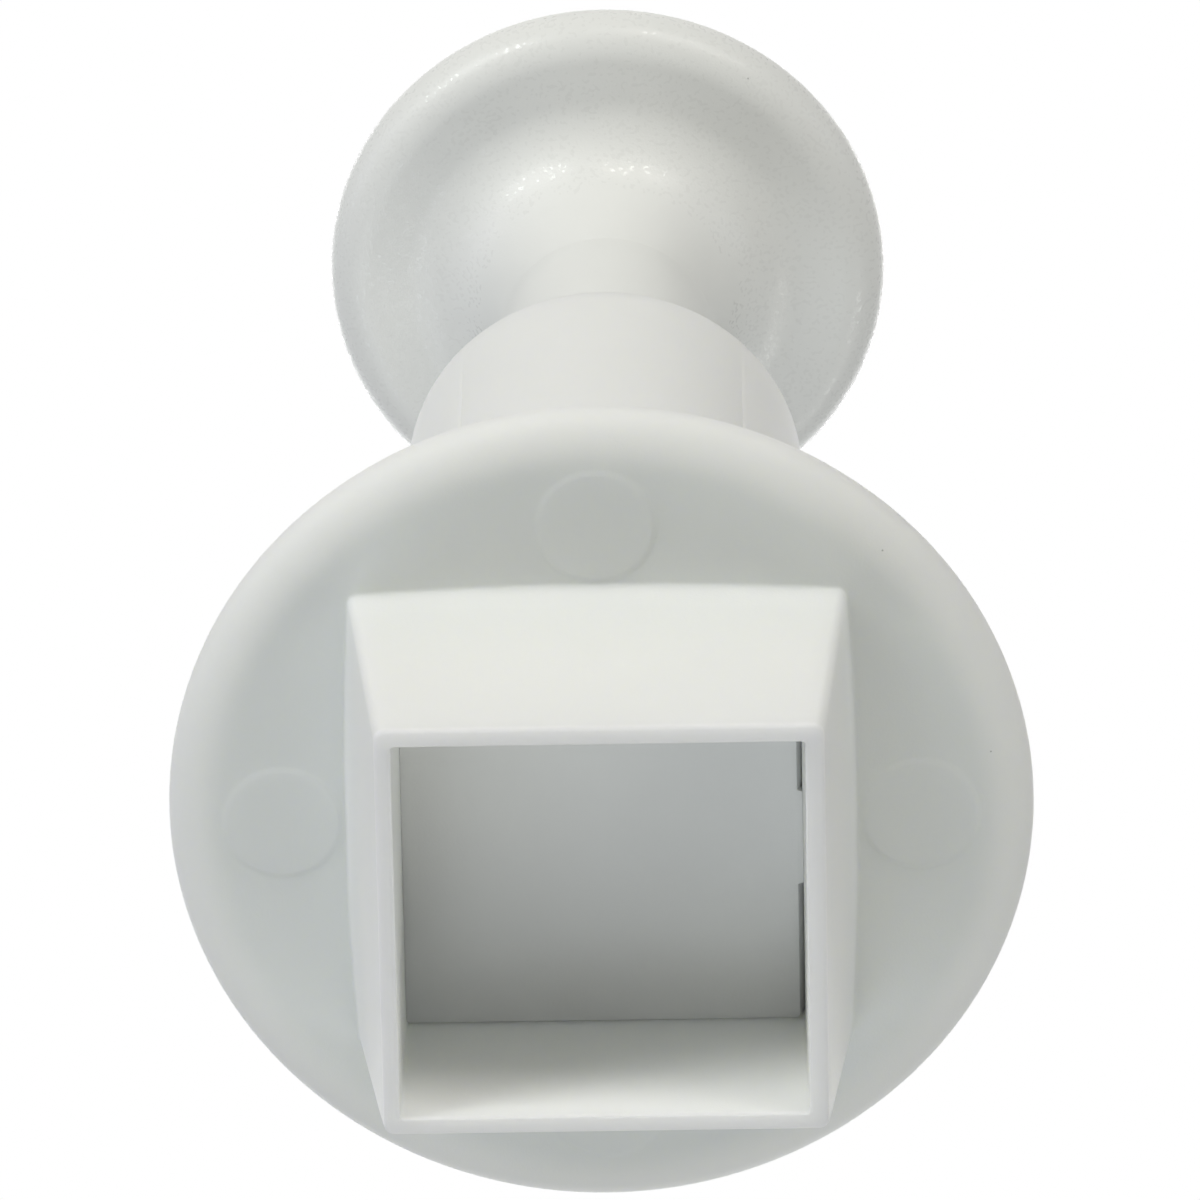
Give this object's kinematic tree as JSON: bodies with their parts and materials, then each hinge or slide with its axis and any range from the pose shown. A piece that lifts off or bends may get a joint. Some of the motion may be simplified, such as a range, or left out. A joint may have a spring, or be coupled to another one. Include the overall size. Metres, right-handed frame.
{
  "type": "square plunger cutter",
  "caption": "Moulded square plunger cutter for sugar paste: a cutting frame on a flanged barrel, with a spring-return knob that pushes an ejector plate.",
  "frame": {"origin": "centre of the square cutting edge, in the plane that the cutter stands on", "axes": "+Z along the plunger axis from the cutting edge to the knob, X and Y square to the frame's walls"},
  "size_m": [0.032, 0.032, 0.0626],
  "materials": {
    "body_plastic": "white satin moulding",
    "plate_plastic": "white satin moulding",
    "plunger_plastic": "white satin moulding",
    "spring_steel": "drawn stainless wire"
  },
  "bodies": {
    "cutter": {"cutter_body": "body_plastic", "return_spring": "spring_steel"},
    "plunger": {"stem": "plunger_plastic", "knob": "plunger_plastic", "ejector_plate": "plate_plastic"}
  },
  "joints": [
    {"name": "plunger_slide", "type": "slide", "parent": "cutter", "child": "plunger", "axis": [0, 0, -1], "range_m": [0, 0.0085], "stiffness_N_per_m": 1100, "springref_m": -0.004, "deforming": ["return_spring"]}
  ]
}
